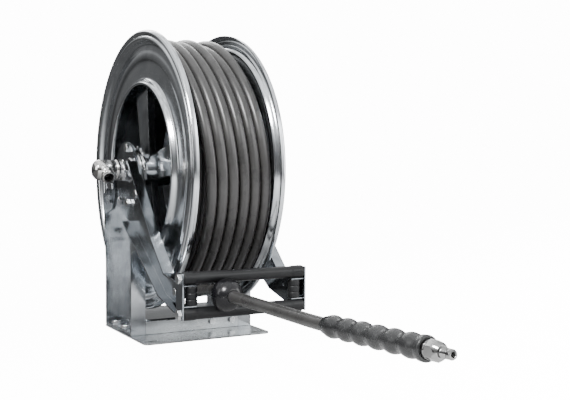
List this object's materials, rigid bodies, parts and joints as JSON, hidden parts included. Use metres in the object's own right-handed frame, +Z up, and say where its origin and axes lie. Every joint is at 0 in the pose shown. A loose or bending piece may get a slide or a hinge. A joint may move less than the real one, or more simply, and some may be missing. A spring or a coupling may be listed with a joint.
{
  "type": "hose reel",
  "caption": "Spring-return hose reel: an open drum between two posts on a base plate, with a roller guide, a stopper ball and a ribbed grip on the hose's end.",
  "frame": {"origin": "on the ground under the base plate, straight below the middle of the drum", "axes": "+X along the drum's axle, away from the swivel inlet; -Y where the hose leaves; +Z up"},
  "size_m": [0.2556, 0.9477, 0.4788],
  "materials": {
    "stainless": "bright rolled stainless sheet",
    "brushed_base": "satin brushed stainless",
    "plated_steel": "bright plated",
    "dark_steel": "dark satin",
    "hose_rubber": "satin, charcoal grey",
    "roller_plastic": "matte black",
    "seal_rubber": "black",
    "stopper_rubber": "satin black",
    "grip_rubber": "soft grey"
  },
  "bodies": {
    "frame": {"base_plate": "brushed_base", "base_beam": "brushed_base", "left_post": "stainless", "right_post": "stainless", "left_arm": "stainless", "right_arm": "stainless", "left_bearing": "plated_steel", "right_bearing": "plated_steel", "left_guide_bracket": "plated_steel", "right_guide_bracket": "plated_steel", "top_roller_axle": "plated_steel", "bottom_roller_axle": "plated_steel", "left_roller_axle": "plated_steel", "right_roller_axle": "plated_steel", "spring_case": "dark_steel", "spring_cover": "dark_steel", "spiral_spring": "dark_steel", "pawl_pin": "plated_steel", "left_arm_bolt_1": "plated_steel", "left_arm_bolt_2": "plated_steel", "left_arm_bolt_3": "plated_steel", "left_arm_bolt_4": "plated_steel", "right_arm_bolt_1": "plated_steel", "right_arm_bolt_2": "plated_steel", "right_arm_bolt_3": "plated_steel", "right_arm_bolt_4": "plated_steel", "left_guide_bolt": "plated_steel", "right_guide_bolt": "plated_steel", "left_base_bolt_1": "plated_steel", "left_base_bolt_2": "plated_steel", "right_base_bolt_1": "plated_steel", "right_base_bolt_2": "plated_steel", "beam_bolt_1": "plated_steel", "beam_bolt_2": "plated_steel", "hose_run": "hose_rubber"},
    "drum": {"axle_shaft": "plated_steel", "axle_nut": "plated_steel", "drum_core": "stainless", "left_disc": "stainless", "right_disc": "stainless", "drum_spider": "stainless", "ratchet_wheel": "plated_steel", "spring_arbor": "dark_steel", "feed_hose": "hose_rubber", "feed_ferrule": "plated_steel", "hose_pack": "hose_rubber"},
    "swivel": {"swivel_housing": "plated_steel", "swivel_seal": "seal_rubber"},
    "top_roller_body": {"top_roller": "roller_plastic"},
    "bottom_roller_body": {"bottom_roller": "roller_plastic"},
    "left_roller_body": {"left_roller": "roller_plastic"},
    "right_roller_body": {"right_roller": "roller_plastic"},
    "pawl_body": {"pawl": "plated_steel"},
    "hose_end": {"hose_lead": "hose_rubber", "stopper_upper": "stopper_rubber", "stopper_lower": "stopper_rubber", "grip_sleeve": "grip_rubber", "end_ferrule": "plated_steel", "end_nut": "plated_steel", "end_nipple": "plated_steel"}
  },
  "joints": [
    {"name": "drum_spin", "type": "hinge", "parent": "frame", "child": "drum", "pos_m": [0, 0, 0.258], "axis": [-1, 0, 0], "range_deg": [0, 120], "stiffness_Nm_per_rad": 0.5, "springref_deg": -28.65},
    {"name": "hose_pull", "type": "slide", "parent": "frame", "child": "hose_end", "axis": [0, -1, 0], "range_m": [0, 0.415]},
    {"name": "swivel_turn", "type": "hinge", "parent": "frame", "child": "swivel", "pos_m": [-0.128, 0, 0.258], "axis": [1, 0, 0], "continuous": true},
    {"name": "top_roller_spin", "type": "hinge", "parent": "frame", "child": "top_roller_body", "pos_m": [0, -0.229, 0.1129], "axis": [1, 0, 0], "continuous": true},
    {"name": "bottom_roller_spin", "type": "hinge", "parent": "frame", "child": "bottom_roller_body", "pos_m": [0, -0.229, 0.0639], "axis": [1, 0, 0], "continuous": true},
    {"name": "left_roller_spin", "type": "hinge", "parent": "frame", "child": "left_roller_body", "pos_m": [-0.081, -0.229, 0.0884], "axis": [0, 0, 1], "continuous": true},
    {"name": "right_roller_spin", "type": "hinge", "parent": "frame", "child": "right_roller_body", "pos_m": [0.081, -0.229, 0.0884], "axis": [0, 0, 1], "continuous": true},
    {"name": "pawl_swing", "type": "hinge", "parent": "frame", "child": "pawl_body", "pos_m": [-0.0735, 0.03, 0.196], "axis": [1, 0, 0], "range_deg": [-3, 12], "stiffness_Nm_per_rad": 0.5}
  ],
  "couplings": [
    {"joint": "hose_pull", "follows": "drum_spin", "m_per_rad": 0.198}
  ]
}
